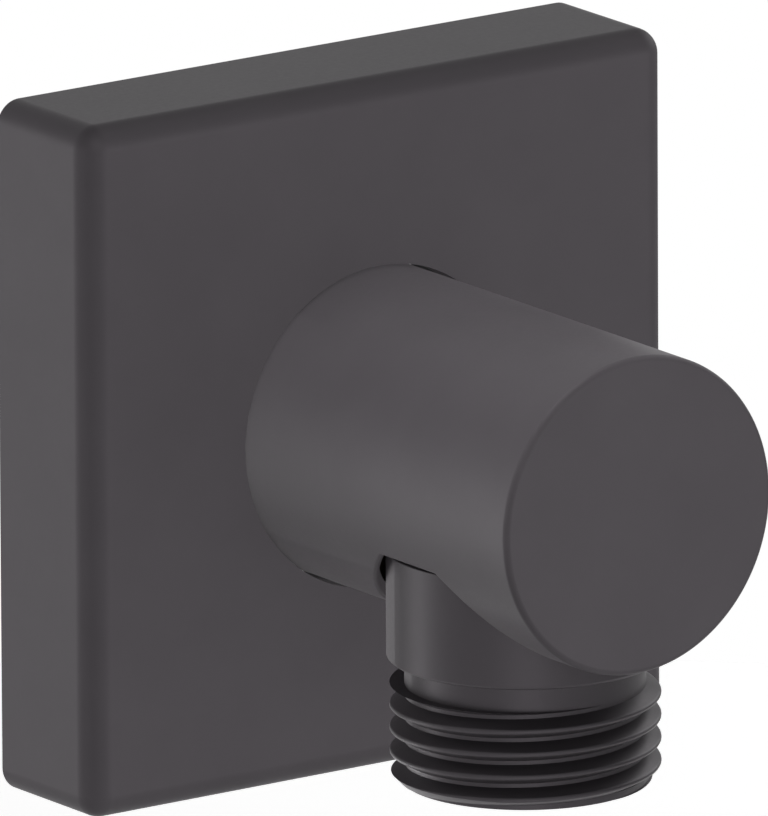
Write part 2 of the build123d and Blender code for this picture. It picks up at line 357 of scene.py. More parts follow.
class Finishes:
    """Every finish on the fitting, each made once."""

    def __init__(self) -> None:
        """Make the materials."""
        self.coat = MattBlackCoat().material()
        # The same black, but thin as plating on the machined outlet: darker, and smooth enough to
        # shine
        self.plating = MattBlackCoat(
            "satin_black_plating", "#3C393C", "#413E41", (0.38, 0.46), shine=0.46
        ).material()
        self.brass_upright = TurnedBrass().material()
        self.brass_level = TurnedBrass("turned_brass_y", axis=LatheAxis.LEVEL).material()
        # Brass as it comes from the mould: a dull brown skin with a sandy grain, almost black in
        # the shade
        self.cast_brass = GrainedSurface(
            "cast_brass", "#2E2416", "#4A3A22", (0.6, 0.75), 0.012, 0.5, metallic=1.0
        ).material()
        # Nitrile rubber rings, moulded: near black, with a dull bloom that breaks up the light
        self.rubber = GrainedSurface(
            "moulded_rubber", "#161617", "#262627", (0.55, 0.75), 0.004, 0.35, ior=1.52
        ).material()
        # Acetal plastic, moulded: milky white with the low gloss of a fine tool texture
        self.acetal = GrainedSurface(
            "moulded_acetal", "#D5D4CE", "#E6E5E0", (0.36, 0.48), 0.003, 0.3, ior=1.48
        ).material()
        # Stainless steel, drawn to wire or turned to a screw: pale grey metal, faintly mottled
        self.steel = GrainedSurface(
            "drawn_stainless", "#9C9B97", "#C2C1BC", (0.2, 0.34), 0.0012, 0.25, metallic=1.0
        ).material()


def box_mm(node: str) -> tuple[Vector, Vector]:
    """A node's lowest and highest corners in millimetres."""
    low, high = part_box(node)
    return low / MM, high / MM


def rounded_outline(corners: Sequence[Corner], closed: bool) -> list[Vector]:
    """Replace each rounded corner by an arc.

    Args:
        corners: The outline's corners in order.
        closed: Whether the last corner joins the first.

    Returns:
        The outline's points, radius first.
    """
    points: list[Vector] = []
    for index, corner in enumerate(corners):
        here = Vector((corner.radius, corner.height))
        is_end = not closed and index in (0, len(corners) - 1)
        if corner.rounding <= 0 or is_end:
            points.append(here)
            continue
        back = (Vector(corners[index - 1][:2]) - here).normalized()
        ahead = (Vector(corners[(index + 1) % len(corners)][:2]) - here).normalized()
        half = back.angle(ahead) / 2
        centre = here + (back + ahead).normalized() * corner.rounding / math.sin(half)
        first = here + back * corner.rounding / math.tan(half) - centre
        last = here + ahead * corner.rounding / math.tan(half) - centre
        sweep = first.angle_signed(last)
        for step in range(ARC_STEPS + 1):
            points.append(centre + Matrix.Rotation(-sweep * step / ARC_STEPS, 2) @ first)
    return points


def tidy_shell(shape: BMesh) -> BMesh:
    """Merge doubled points and turn every face outwards."""
    bmesh.ops.remove_doubles(shape, verts=shape.verts, dist=MERGE_DISTANCE)
    bmesh.ops.recalc_face_normals(shape, faces=shape.faces)
    return shape


def spin_upright(
    shape: BMesh,
    outline: list[bmesh.types.BMVert | bmesh.types.BMEdge],
    angle: float,
    steps: int,
    rise: float = 0.0,
    closed: bool = False,
) -> None:
    """Spin an outline about the upright axis.

    Args:
        shape: Shape that holds the outline.
        outline: The outline's points and edges.
        angle: How far it turns, in radians.
        steps: Segments of the turn.
        rise: How far each segment lifts it.
        closed: Whether the last segment joins the first.
    """
    bmesh.ops.spin(
        shape,
        geom=outline,
        cent=ORIGIN,
        axis=UPRIGHT,
        dvec=(0.0, 0.0, rise),
        angle=angle,
        steps=steps,
        use_merge=closed,
    )


def turned(
    corners: Sequence[Corner],
    heading: Heading = Heading.UP,
    place: tuple[float, float, float] = ORIGIN,
    steps: int = TURN_STEPS,
) -> BMesh:
    """Turn an outline about its axis into a closed shape.

    Args:
        corners: Outline, either a loop clear of the axis or a line that starts and ends on it.
        heading: Which way the outline's height runs in the frame.
        place: Where the axis stands.
        steps: Segments round the turn.

    Returns:
        The closed shape in millimetres.
    """
    closed = corners[0].radius > 0
    shape = bmesh.new()
    verts = [shape.verts.new((p.x, 0.0, p.y)) for p in rounded_outline(corners, closed)]
    pairs = list(zip(verts, verts[1:]))
    if closed:
        pairs.append((verts[-1], verts[0]))
    edges = [shape.edges.new(pair) for pair in pairs]
    spin_upright(shape, verts + edges, math.tau, steps, closed=True)
    tidy_shell(shape)
    stand = Matrix.Translation(place) @ heading.matrix
    bmesh.ops.transform(shape, matrix=stand, verts=shape.verts)
    return shape


def block(low: Sequence[float], high: Sequence[float]) -> BMesh:
    """A box between two corners."""
    shape = bmesh.new()
    size = Vector(high) - Vector(low)
    centre = (Vector(high) + Vector(low)) / 2
    matrix = Matrix.Translation(centre) @ Matrix.Diagonal((*size, 1.0))
    bmesh.ops.create_cube(shape, size=1.0, matrix=matrix)
    return shape


def round_edges(
    shape: BMesh, chosen: Callable[[bmesh.types.BMEdge], bool], radius: float, segments: int
) -> None:
    """Round the chosen edges of a shape.

    Args:
        shape: Shape to change.
        chosen: Test that picks an edge.
        radius: Radius of the rounding.
        segments: Segments across it.
    """
    edges = [edge for edge in shape.edges if chosen(edge)]
    bmesh.ops.bevel(
        shape,
        geom=edges,
        offset=radius,
        offset_type="OFFSET",
        affect="EDGES",
        segments=segments,
        profile=0.5,
        material=-1,
    )


def runs_along(edge: bmesh.types.BMEdge, axis: int) -> bool:
    """Whether an edge is parallel to an axis."""
    span = edge.verts[0].co - edge.verts[1].co
    return abs(span[axis]) > PARALLEL * span.length


def combined(base: BMesh, tool: BMesh, how: Combine) -> BMesh:
    """Add, cut or keep one closed shape by another.

    Args:
        base: Shape that is changed, used up by the call.
        tool: Shape that changes it, used up by the call.
        how: What the tool does.

    Returns:
        The new closed shape.
    """
    objects = []
    for shape in (base, tool):
        mesh = bpy.data.meshes.new("shaping")
        shape.to_mesh(mesh)
        shape.free()
        objects.append(bpy.data.objects.new("shaping", mesh))
        bpy.context.scene.collection.objects.link(objects[-1])
    modifier = objects[0].modifiers.new("shaping", "BOOLEAN")
    modifier.operation = how.value
    modifier.object = objects[1]
    modifier.solver = "EXACT"
    evaluated = objects[0].evaluated_get(bpy.context.evaluated_depsgraph_get())
    result = bmesh.new()
    result.from_mesh(evaluated.to_mesh())
    evaluated.to_mesh_clear()
    for old in objects:
        mesh = old.data
        bpy.data.objects.remove(old)
        bpy.data.meshes.remove(mesh)
    return tidy_shell(result)


def made_piece(
    name: str,
    shape: BMesh,
    finishes: Sequence[bpy.types.Material],
    nodes: Sequence[str],
    body: Body = Body.FITTING,
) -> bpy.types.Object:
    """Turn a shape in millimetres into a finished piece of the frame.

    Args:
        name: The piece's name.
        shape: Closed shape, used up by the call. Its faces' material numbers follow the finishes.
        finishes: Materials in the order of the faces' numbers.
        nodes: CAD nodes that the piece stands for.
        body: Body that carries it.

    Returns:
        The new object.
    """
    bmesh.ops.scale(shape, vec=(MM, MM, MM), verts=shape.verts)
    for face in shape.faces:
        face.smooth = True
    for edge in shape.edges:
        edge.smooth = len(edge.link_faces) == 2 and edge.calc_face_angle(0.0) < SHARP_ANGLE
    mesh = bpy.data.meshes.new(name)
    shape.to_mesh(mesh)
    shape.free()
    for material in finishes:
        mesh.materials.append(material)
    piece = bpy.data.objects.new(name, mesh)
    bpy.context.scene.collection.objects.link(piece)
    # Large flats keep their own direction, so that light runs evenly into the roundings
    weighted = piece.modifiers.new("even_light", "WEIGHTED_NORMAL")
    weighted.keep_sharp = True
    weighted.weight = FLAT_WEIGHT
    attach(piece, body.value)
    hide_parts(*nodes)
    LOG.info("%s: %d faces, stands for %s", name, len(mesh.polygons), ", ".join(nodes))
    return piece


def dressed_node(node: str, material: bpy.types.Material) -> bpy.types.Object:
    """Give a CAD node its finish.

    Args:
        node: The node's name.
        material: Its finish.

    Returns:
        The node's object.
    """
    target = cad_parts[node]
    target.data.materials.clear()
    target.data.materials.append(material)
    LOG.info("%s: dressed in %s", node, material.name)
    return target


@dataclass(frozen=True)
class PipeThread:
    """Half-inch parallel pipe thread: 55 degree flanks, rounded crests, right-handed."""

    crest_radius: float = 20.955 / 2
    pitch: float = 25.4 / 14
    half_flank: float = math.radians(27.5)
    rounding_per_pitch: float = 0.137329
    depth: float = 1.16
    sunk: float = 0.2
    steps_per_turn: int = 160

    @property
    def root_radius(self) -> float:
        """Radius at the foot of the ridge."""
        return self.crest_radius - self.depth

    @property
    def crest_rounding(self) -> float:
        """Radius that rounds the crest."""
        return self.rounding_per_pitch * self.pitch

    def ridge(self, start_height: float, start_angle: float, turns: float) -> BMesh:
        """Wind the ridge downwards, clockwise as seen from above.

        Args:
            start_height: Height of the crest where the ridge starts.
            start_angle: Direction of the start, in radians from +X.
            turns: Number of turns.

        Returns:
            The closed ridge, sunk a little into its core.
        """
        tip = self.crest_radius + self.crest_rounding * (1 / math.sin(self.half_flank) - 1)
        foot = self.root_radius - self.sunk
        half_width = (tip - foot) * math.tan(self.half_flank)
        section = (
            Corner(foot, start_height - half_width),
            Corner(tip, start_height, self.crest_rounding),
            Corner(foot, start_height + half_width),
        )
        shape = bmesh.new()
        verts = [shape.verts.new((p.x, 0.0, p.y)) for p in rounded_outline(section, True)]
        edges = [shape.edges.new(pair) for pair in zip(verts, verts[1:] + verts[:1])]
        turn_to_start = Matrix.Rotation(start_angle, 3, "Z")
        bmesh.ops.rotate(shape, cent=ORIGIN, matrix=turn_to_start, verts=verts)
        steps = round(turns * self.steps_per_turn)
        drop = self.pitch * turns / steps
        spin_upright(shape, verts + edges, -math.tau * turns, steps, -drop)
        bmesh.ops.holes_fill(shape, edges=shape.edges, sides=0)
        return tidy_shell(shape)


@dataclass
class WallPlate:
    """Square plate that hides the hole in the wall: hollow behind, with a boss round its hole."""

    wall: float = 2.0
    edge_radius: float = 2.0
    edge_steps: int = 12
    hollow_corner: float = 1.0
    hollow_steps: int = 6
    hole_gap: float = 0.25
    boss_wall: float = 2.8
    boss_length: float = 3.6
    boss_edge: float = 0.2
    groove_width: float = 2.0
    groove_depth: float = 1.1

    def build(self, finishes: Finishes) -> bpy.types.Object:
        """Model and dress the plate.

        Args:
            finishes: The fitting's finishes.

        Returns:
            The plate's piece.
        """
        low, high = box_mm("escutcheon")
        plate = block(low, high)
        front = low.y

        def is_rounded(edge: bmesh.types.BMEdge) -> bool:
            """Edges that run out from the wall, and those round the front face."""
            on_front = all(abs(vert.co.y - front) < NEAR for vert in edge.verts)
            return on_front or runs_along(edge, 1)

        round_edges(plate, is_rounded, self.edge_radius, self.edge_steps)
        inset = Vector((self.wall, 0.0, self.wall))
        hollow_low = low + inset + Vector((0.0, self.wall, 0.0))
        hollow = block(hollow_low, high - inset + Vector((0.0, OVERCUT, 0.0)))
        round_edges(
            hollow, lambda edge: runs_along(edge, 1), self.hollow_corner, self.hollow_steps
        )
        plate = combined(plate, hollow, Combine.CUT)
        hole = box_mm("cover_sleeve")[1].x + self.hole_gap
        inner_face = -front - self.wall
        boss_back = inner_face - self.boss_length
        boss = turned(
            (
                Corner(0.0, boss_back),
                Corner(hole + self.boss_wall, boss_back, self.boss_edge),
                Corner(hole + self.boss_wall, inner_face + self.wall / 2),
                Corner(0.0, inner_face + self.wall / 2),
            ),
            Heading.OUT_FROM_WALL,
        )
        plate = combined(plate, boss, Combine.ADD)
        groove_middle = inner_face - self.boss_length / 2
        groove_low = groove_middle - self.groove_width / 2
        groove_high = groove_middle + self.groove_width / 2
        bore = turned(
            (
                Corner(0.0, boss_back - OVERCUT),
                Corner(hole, boss_back - OVERCUT),
                Corner(hole, groove_low),
                Corner(hole + self.groove_depth, groove_low),
                Corner(hole + self.groove_depth, groove_high),
                Corner(hole, groove_high),
                Corner(hole, -front + OVERCUT),
                Corner(0.0, -front + OVERCUT),
            ),
            Heading.OUT_FROM_WALL,
        )
        plate = combined(plate, bore, Combine.CUT)
        return made_piece("wall_plate_shell", plate, [finishes.coat], ["escutcheon"])


@dataclass
class CoverSleeve:
    """Round sleeve, closed in front, that hides the elbow and lets the outlet through below."""

    wall: float = 1.0
    front_wall: float = 1.5
    edge_radius: float = 0.5
    inner_corner: float = 0.3
    back_edge: float = 0.15
    hole_gap: float = 0.85
    hole_shift: float = 0.6
    hole_top: float = -5.0
    lip_radius: float = 0.3
    lip_steps: int = 6
    lip_overcut: float = 0.4
    screw_way: float = 2.4
    screw_forward: float = 6.0
    turn_steps: int = 288

    def build(self, finishes: Finishes) -> bpy.types.Object:
        """Model and dress the sleeve.

        Args:
            finishes: The fitting's finishes.

        Returns:
            The sleeve's piece.
        """
        low, high = box_mm("cover_sleeve")
        radius, back, reach = high.x, -high.y, -low.y
        inner = radius - self.wall
        inner_front = reach - self.front_wall
        sleeve = turned(
            (
                Corner(0.0, reach),
                Corner(radius, reach, self.edge_radius),
                Corner(radius, back, self.back_edge),
                Corner(inner, back, self.back_edge),
                Corner(inner, inner_front, self.inner_corner),
                Corner(0.0, inner_front),
            ),
            Heading.OUT_FROM_WALL,
            steps=self.turn_steps,
        )
        outlet_low, outlet_high = box_mm("outlet_nipple")
        hole_centre = Vector((0.0, (outlet_low.y + outlet_high.y) / 2 - self.hole_shift, 0.0))
        hole_tool = self.hole_tool(hole_centre, outlet_high.x + self.hole_gap, radius)
        sleeve = combined(sleeve, hole_tool, Combine.CUT)
        screw_tool = turned(
            (
                Corner(0.0, -2 * radius),
                Corner(self.screw_way, -2 * radius),
                Corner(self.screw_way, 0.0),
                Corner(0.0, 0.0),
            ),
            place=(0.0, -self.screw_forward, 0.0),
        )
        sleeve = combined(sleeve, screw_tool, Combine.CUT)
        return made_piece(
            "cover_sleeve_shell", sleeve, [finishes.coat], ["cover_sleeve"]
        )

    def hole_tool(self, centre: Vector, hole: float, radius: float) -> BMesh:
        """Shape the tool that cuts the outlet's hole, flat at its top and with a round lip outside.

        The lip is the path of a ball that rolls round the hole, inside both its wall and the skin.

        Args:
            centre: Where the hole's upright axis stands.
            hole: The hole's radius.
            radius: The sleeve's outer radius.

        Returns:
            The closed tool.
        """
        rolled = hole + self.lip_radius
        sunk = radius - self.lip_radius
        tool = bmesh.new()
        outward = tool.verts.layers.float_vector.new("outward")
        bmesh.ops.create_circle(tool, cap_ends=True, segments=TURN_STEPS, radius=rolled + OVERCUT)
        for vert in tool.verts:
            vert[outward] = vert.co.normalized()
        bmesh.ops.translate(tool, vec=(0.0, 0.0, -2 * radius), verts=tool.verts)
        edges = tool.edges[:]
        for level in range(-1, self.lip_steps + 2):
            grown = bmesh.ops.extrude_edge_only(tool, edges=edges)["geom"]
            edges = [part for part in grown if isinstance(part, bmesh.types.BMEdge)]
            for vert in (part for part in grown if isinstance(part, bmesh.types.BMVert)):
                away = Vector(vert[outward])
                ball = away * rolled
                ball.z = -math.sqrt(sunk**2 - ball.x**2)
                skin = Vector((ball.x, 0.0, ball.z)).normalized()
                if level < 0:
                    vert.co = ball + skin * (self.lip_radius + self.lip_overcut)
                elif level > self.lip_steps:
                    vert.co = away * hole
                else:
                    turn = skin.slerp(-away, level / self.lip_steps)
                    vert.co = ball + turn * self.lip_radius
        bmesh.ops.holes_fill(tool, edges=edges, sides=0)
        far = 2 * radius
        below = block((-far, -far, -far - radius), (far, far, self.hole_top))
        tool = combined(tidy_shell(tool), below, Combine.KEEP)
        bmesh.ops.translate(tool, vec=centre, verts=tool.verts)
        return tool


@dataclass
class HoseOutlet:
    """Outlet that points down: spigot, collar, relief neck and hose thread round a plain bore."""

    collar_top: float = -4.3
    collar_shoulder: float = -5.55
    collar_top_inset: float = 0.5
    collar_bottom: float = -14.2
    collar_edge: float = 0.3
    collar_top_edge: float = 0.2
    shoulder_edge: float = 0.12
    neck_bottom: float = -16.3
    neck_corner: float = 0.25
    spigot_radius: float = 8.0
    spigot_edge: float = 0.3
    spigot_bore: float = 6.3
    bore: float = 7.5
    bore_stop: float = -6.5
    bore_chamfer: float = 0.5
    lead_in: float = 0.86
    end_land: float = 0.6
    end_step: float = 0.03
    end_edge: float = 0.1
    bare_above: float = 1.0
    thread_crest: float = -16.2
    thread_from: float = math.radians(144.2)
    turns_past_end: float = 0.6

    def build(self, finishes: Finishes) -> bpy.types.Object:
        """Model and dress the outlet, plated outside and bare brass in its bore.

        Args:
            finishes: The fitting's finishes.

        Returns:
            The outlet's piece.
        """
        low, high = box_mm("outlet_nipple")
        collar, top, end = high.x, high.z, low.z
        middle = (low + high) / 2
        thread = PipeThread()
        tip = thread.crest_radius - self.lead_in
        outlet = turned(
            (
                Corner(self.spigot_bore, top),
                Corner(self.spigot_radius, top, self.spigot_edge),
                Corner(self.spigot_radius, self.collar_top),
                Corner(collar - self.collar_top_inset, self.collar_top, self.collar_top_edge),
                Corner(collar - self.collar_top_inset, self.collar_shoulder),
                Corner(collar, self.collar_shoulder, self.shoulder_edge),
                Corner(collar, self.collar_bottom, self.collar_edge),
                Corner(thread.root_radius, self.collar_bottom, self.neck_corner),
                Corner(thread.root_radius, end + self.end_land),
                Corner(tip - self.end_step, end + self.end_land),
                Corner(tip - self.end_step, end, self.end_edge),
                Corner(self.bore + self.bore_chamfer, end),
                Corner(self.bore, end + self.bore_chamfer),
                Corner(self.bore, self.bore_stop),
                Corner(self.spigot_bore, self.bore_stop),
            )
        )
        start = self.thread_crest + thread.pitch
        turns = (start - end) / thread.pitch + self.turns_past_end
        ridge = thread.ridge(start, self.thread_from, turns)
        past = thread.crest_radius + OVERCUT
        # The neck was turned after the thread was cut, so it ends the ridge in a flat shoulder.
        # A small step keeps the ridge's end off the core's, so that no faces coincide
        envelope = turned(
            (
                Corner(0.0, self.neck_bottom),
                Corner(past, self.neck_bottom),
                Corner(past, end + past - tip),
                Corner(tip + self.end_step, end + self.end_step),
                Corner(0.0, end + self.end_step),
            )
        )
        ridge = combined(ridge, envelope, Combine.KEEP)
        outlet = combined(outlet, ridge, Combine.ADD)
        for face in outlet.faces:
            face.material_index = int(self.is_bare(face, end))
        bmesh.ops.translate(outlet, vec=(0.0, middle.y, 0.0), verts=outlet.verts)
        return made_piece(
            "hose_outlet_threaded",
            outlet,
            [finishes.plating, finishes.brass_upright],
            ["outlet_nipple"],
        )

    def is_bare(self, face: bmesh.types.BMFace, end: float) -> bool:
        """Whether a face has no plating.

        Args:
            face: A face of the outlet, while its axis still stands at the origin.
            end: Height of the outlet's lower end.

        Returns:
            True in the bore and above the collar.
        """
        centre = face.calc_center_median()
        away = Vector((centre.x, centre.y))
        inward = away.dot(Vector((face.normal.x, face.normal.y))) < 0
        in_bore = away.length < self.bore + NEAR and (inward or centre.z > end + self.bare_above)
        return in_bore or centre.z > self.collar_top - NEAR


@dataclass
class WallNipple:
    """Brass nipple that screws into the wall: thread, shoulder and a grooved spigot."""

    thread_length: float = 14.0
    thread_relief: float = 0.9
    thread_foot: float = 0.2
    thread_end_edge: float = 0.15
    lead_in: float = 1.1
    shoulder: float = 2.6
    shoulder_edge: float = 0.2
    spigot_radius: float = 8.0
    spigot_edge: float = 0.4
    bore: float = 4.8
    hexagon: float = 10.0
    hexagon_depth: float = 8.0
    lock_groove: tuple[float, float, float] = (6.0, 1.5, 0.7)
    seal_grooves: tuple[float, float] = (9.9, 13.4)
    seal_groove_half: float = 0.9
    seal_groove_depth: float = 1.1
    groove_edge: float = 0.08
    groove_corner: float = 0.15

    def build(self, finishes: Finishes) -> bpy.types.Object:
        """Model and dress the nipple.

        Args:
            finishes: The fitting's finishes.

        Returns:
            The nipple's piece.
        """
        low, high = box_mm("wall_nipple")
        shoulder_radius, front = high.x, low.y
        thread = PipeThread()
        corners = [
            Corner(self.bore, self.thread_length),
            Corner(thread.root_radius, self.thread_length, self.thread_end_edge),
            Corner(thread.root_radius, 0.0, self.shoulder_edge),
            Corner(shoulder_radius, 0.0, self.shoulder_edge),
            Corner(shoulder_radius, -self.shoulder, self.shoulder_edge),
            Corner(self.spigot_radius, -self.shoulder),
        ]
        # Each groove's middle, half width and depth
        grooves = [self.lock_groove]
        grooves += [(at, self.seal_groove_half, self.seal_groove_depth) for at in self.seal_grooves]
        for middle, half, depth in grooves:
            corners += [
                Corner(self.spigot_radius, half - middle, self.groove_edge),
                Corner(self.spigot_radius - depth, half - middle, self.groove_corner),
                Corner(self.spigot_radius - depth, -half - middle, self.groove_corner),
                Corner(self.spigot_radius, -half - middle, self.groove_edge),
            ]
        corners += [Corner(self.spigot_radius, front, self.spigot_edge), Corner(self.bore, front)]
        nipple = turned(corners)
        start = self.thread_length + thread.pitch / 2
        turns = (start - self.thread_relief - thread.pitch / 2) / thread.pitch
        ridge = thread.ridge(start, 0.0, turns)
        past = thread.crest_radius + OVERCUT
        tip = thread.crest_radius - self.lead_in
        envelope = turned(
            (
                Corner(0.0, self.thread_foot),
                Corner(past, self.thread_foot),
                Corner(past, self.thread_length - (past - tip)),
                Corner(tip, self.thread_length),
                Corner(0.0, self.thread_length),
            )
        )
        ridge = combined(ridge, envelope, Combine.KEEP)
        nipple = combined(nipple, ridge, Combine.ADD)
        key = bmesh.new()
        key_radius = self.hexagon / 2 / math.cos(math.pi / 6)
        bmesh.ops.create_cone(
            key,
            cap_ends=True,
            segments=6,
            radius1=key_radius,
            radius2=key_radius,
            depth=2 * self.hexagon_depth,
            matrix=Matrix.Translation((0.0, 0.0, front)),
        )
        nipple = combined(nipple, key, Combine.CUT)
        bmesh.ops.transform(nipple, matrix=Heading.INTO_WALL.matrix, verts=nipple.verts)
        return made_piece(
            "wall_nipple_threaded", nipple, [finishes.brass_level], ["wall_nipple"]
        )


@dataclass
class CheckValve:
    """Check valve in the outlet: moulded cartridge and poppet, their rings, and a wire spring."""

    wire: float = 0.4
    spring_turns: float = 4.5
    spring_travel: float = 2.0
    coil_steps: int = 48
    wire_steps: int = 16

    def build(self, finishes: Finishes) -> bpy.types.Object:
        """Wind the spring and dress the moulded pieces.

        Args:
            finishes: The fitting's finishes.

        Returns:
            The spring's piece.
        """
        for node in ("check_valve_seat", "check_valve_housing", "check_valve_poppet"):
            dressed_node(node, finishes.acetal)
        for node in ("check_valve_seal", "poppet_seal"):
            dressed_node(node, finishes.rubber)
        return self.build_spring(finishes)

    def build_spring(self, finishes: Finishes) -> bpy.types.Object:
        """Wind the spring that lifts the poppet.

        Args:
            finishes: The fitting's finishes.

        Returns:
            The spring's piece.
        """
        low, high = box_mm("check_valve_spring")
        middle = (low + high) / 2
        foot = low.z + self.wire / 2
        rise = high.z - low.z - self.wire
        coil_radius = (high.x - low.x - self.wire) / 2
        shape = bmesh.new()
        lean = math.atan2(rise / self.spring_turns, math.tau * coil_radius)
        tilt = Matrix.Rotation(math.pi / 2 + lean, 4, "X")
        section = Matrix.Translation((coil_radius, 0.0, foot)) @ tilt
        ring = bmesh.ops.create_circle(
            shape, cap_ends=False, segments=self.wire_steps, radius=self.wire / 2, matrix=section
        )
        steps = round(self.spring_turns * self.coil_steps)
        outline = ring["verts"] + shape.edges[:]
        spin_upright(shape, outline, math.tau * self.spring_turns, steps, rise / steps)
        bmesh.ops.holes_fill(shape, edges=shape.edges, sides=0)
        tidy_shell(shape)
        bmesh.ops.translate(shape, vec=(0.0, middle.y, 0.0), verts=shape.verts)
        spring = made_piece(
            "check_valve_coil", shape, [finishes.steel], ["check_valve_spring"]
        )
        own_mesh(spring)
        return spring


@dataclass
class InnerElbow:
    """What the sleeve hides: the brass elbow, its rings, the gasket and the lock screw."""

    rings: tuple[str, ...] = (
        "plate_seal",
        "sleeve_seal",
        "nipple_seal_rear",
        "nipple_seal_front",
        "outlet_gasket",
    )

    def build(self, finishes: Finishes) -> None:
        """Dress the hidden nodes.

        Args:
            finishes: The fitting's finishes.
        """
        dressed_node("elbow_body", finishes.cast_brass)
        dressed_node("lock_screw", finishes.steel)
        for node in self.rings:
            dressed_node(node, finishes.rubber)


class Lit(Enum):
    """What a lamp lights. Lamps for the large forms and for the sleeve cast no shadows."""

    EVERYTHING = "everything"
    LARGE_FORMS = "large_forms"
    SLEEVE = "sleeve"
    OUTLET = "outlet"


class Softbox(NamedTuple):
    """A soft square lamp that looks at the fitting, in metres and watts.

    Its azimuth is degrees left of the front, and its elevation degrees up.
    """

    name: str
    azimuth: float
    elevation: float
    side: float
    watts: float
    lit: Lit
    distance: float = 0.7

    @property
    def place(self) -> Vector:
        """Where the lamp hangs."""
        around, up = math.radians(self.azimuth), math.radians(self.elevation)
        level = math.cos(up) * self.distance
        height = math.sin(up) * self.distance
        return Vector((-math.sin(around) * level, -math.cos(around) * level, height))


@dataclass
class Studio:
    """Pale floor, white surroundings, soft lamps and the photograph's camera."""

    # Camera: degrees left of the front, up and of roll, then millimetres
    azimuth: float = 35.4748
    elevation: float = 14.6491
    roll: float = 0.2843
    across: float = 7.2304
    above: float = -1.097
    distance: float = 2636.0
    lens: float = 1500.0
    sensor: float = 36.0
    clip: tuple[float, float] = (0.1, 20.0)
    # Floor, and the surroundings' levels, which fade towards one side
    floor_height: float = -110.0
    floor_radius: float = 330.0
    floor_steps: int = 96
    floor_colour: str = "#F4F4F4"
    floor_glow: float = 0.54
    soft_level: float = 0.1
    dim_side: tuple[float, float, float] = (0.97, -0.05, 0.24)
    dim_span: tuple[float, float] = (0.2, 0.8)
    dim_level: float = 0.3
    softboxes: tuple[Softbox, ...] = (
        Softbox("front_softbox", -30.0, -5.0, 0.8, 12.2, Lit.LARGE_FORMS, 1.4),
        Softbox("left_softbox", 138.0, -5.0, 0.4, 2.2, Lit.LARGE_FORMS),
        Softbox("corner_softbox", 85.0, -5.0, 0.4, 1.3, Lit.LARGE_FORMS),
        Softbox("key_softbox", 25.0, 40.0, 0.4, 1.5, Lit.LARGE_FORMS),
        Softbox("top_softbox", 215.0, 15.0, 0.4, 0.3, Lit.LARGE_FORMS),
        Softbox("sleeve_top_softbox", 110.0, 75.0, 0.5, 5.0, Lit.SLEEVE),
        Softbox("sleeve_low_softbox", 165.0, -18.0, 0.12, 0.05, Lit.SLEEVE, 0.15),
        Softbox("sleeve_base_softbox", 170.0, -30.0, 0.05, 0.11, Lit.SLEEVE, 0.07),
        Softbox("outlet_front_softbox", 32.0, -12.0, 0.4, 0.5, Lit.OUTLET),
        Softbox("outlet_left_softbox", 165.0, -10.0, 0.4, 2.6, Lit.OUTLET),
        Softbox("outlet_side_softbox", 143.0, -14.0, 0.4, 0.75, Lit.OUTLET),
        Softbox("back_softbox", 265.0, 25.0, 0.5, 1.5, Lit.EVERYTHING),
    )
    # What the lamps tell apart
    sleeve_piece: str = "cover_sleeve_shell"
    outlet_pieces: tuple[str, ...] = ("hose_outlet_threaded", "check_valve_coil")
    outlet_nodes: tuple[str, ...] = (
        "check_valve_housing",
        "check_valve_seat",
        "check_valve_seal",
        "check_valve_poppet",
        "poppet_seal",
    )
    covered_nodes: tuple[str, ...] = ("elbow_body", "sleeve_seal", "outlet_gasket", "lock_screw")

    def build(self) -> None:
        """Set up the floor, the light and the camera."""
        self.build_floor()
        self.build_world()
        for softbox in self.softboxes:
            self.build_softbox(softbox)
        self.build_camera()
        bpy.context.scene.view_settings.view_transform = "Standard"

    def build_floor(self) -> None:
        """Lay a pale floor that looks white and still takes the shadow."""
        shape = bmesh.new()
        place = Matrix.Translation((0.0, 0.0, self.floor_height * MM))
        bmesh.ops.create_circle(
            shape,
            cap_ends=True,
            segments=self.floor_steps,
            radius=self.floor_radius * MM,
            matrix=place,
        )
        mesh = bpy.data.meshes.new("pale_floor")
        shape.to_mesh(mesh)
        shape.free()
        floor = bpy.data.objects.new("pale_floor", mesh)
        bpy.context.scene.collection.objects.link(floor)
        material, tree = new_material("pale_floor")
        seen = self.add_seen(tree)
        paint = add_node(
            tree, "ShaderNodeBsdfDiffuse", {"Color": hex_to_linear(self.floor_colour)}
        )
        glow = add_node(
            tree, "ShaderNodeEmission", {"Color": WHITE, "Strength": self.floor_glow}
        )
        dark = add_node(tree, "ShaderNodeEmission", {"Strength": 0.0})
        shown = add_node(
            tree, "ShaderNodeMixShader", {0: seen, 1: dark.outputs[0], 2: glow.outputs[0]}
        )
        both = add_node(tree, "ShaderNodeAddShader", {0: paint.outputs[0], 1: shown.outputs[0]})
        # From below the floor is clear, so that the fitting's underside can be looked at
        below = add_node(tree, "ShaderNodeNewGeometry").outputs["Backfacing"]
        clear = add_node(tree, "ShaderNodeBsdfTransparent")
        sided = add_node(
            tree, "ShaderNodeMixShader", {0: below, 1: both.outputs[0], 2: clear.outputs[0]}
        )
        close_material(tree, sided.outputs[0])
        mesh.materials.append(material)

    @staticmethod
    def add_seen(tree: bpy.types.NodeTree) -> bpy.types.NodeSocket:
        """One where the camera, a reflection or glass looks straight at the surroundings."""
        path = add_node(tree, "ShaderNodeLightPath").outputs
        seen = path["Is Camera Ray"]
        for other in (path["Is Glossy Ray"], path["Is Transmission Ray"]):
            either = add_node(tree, "ShaderNodeMath", {0: seen, 1: other}, operation="MAXIMUM")
            seen = either.outputs[0]
        return seen

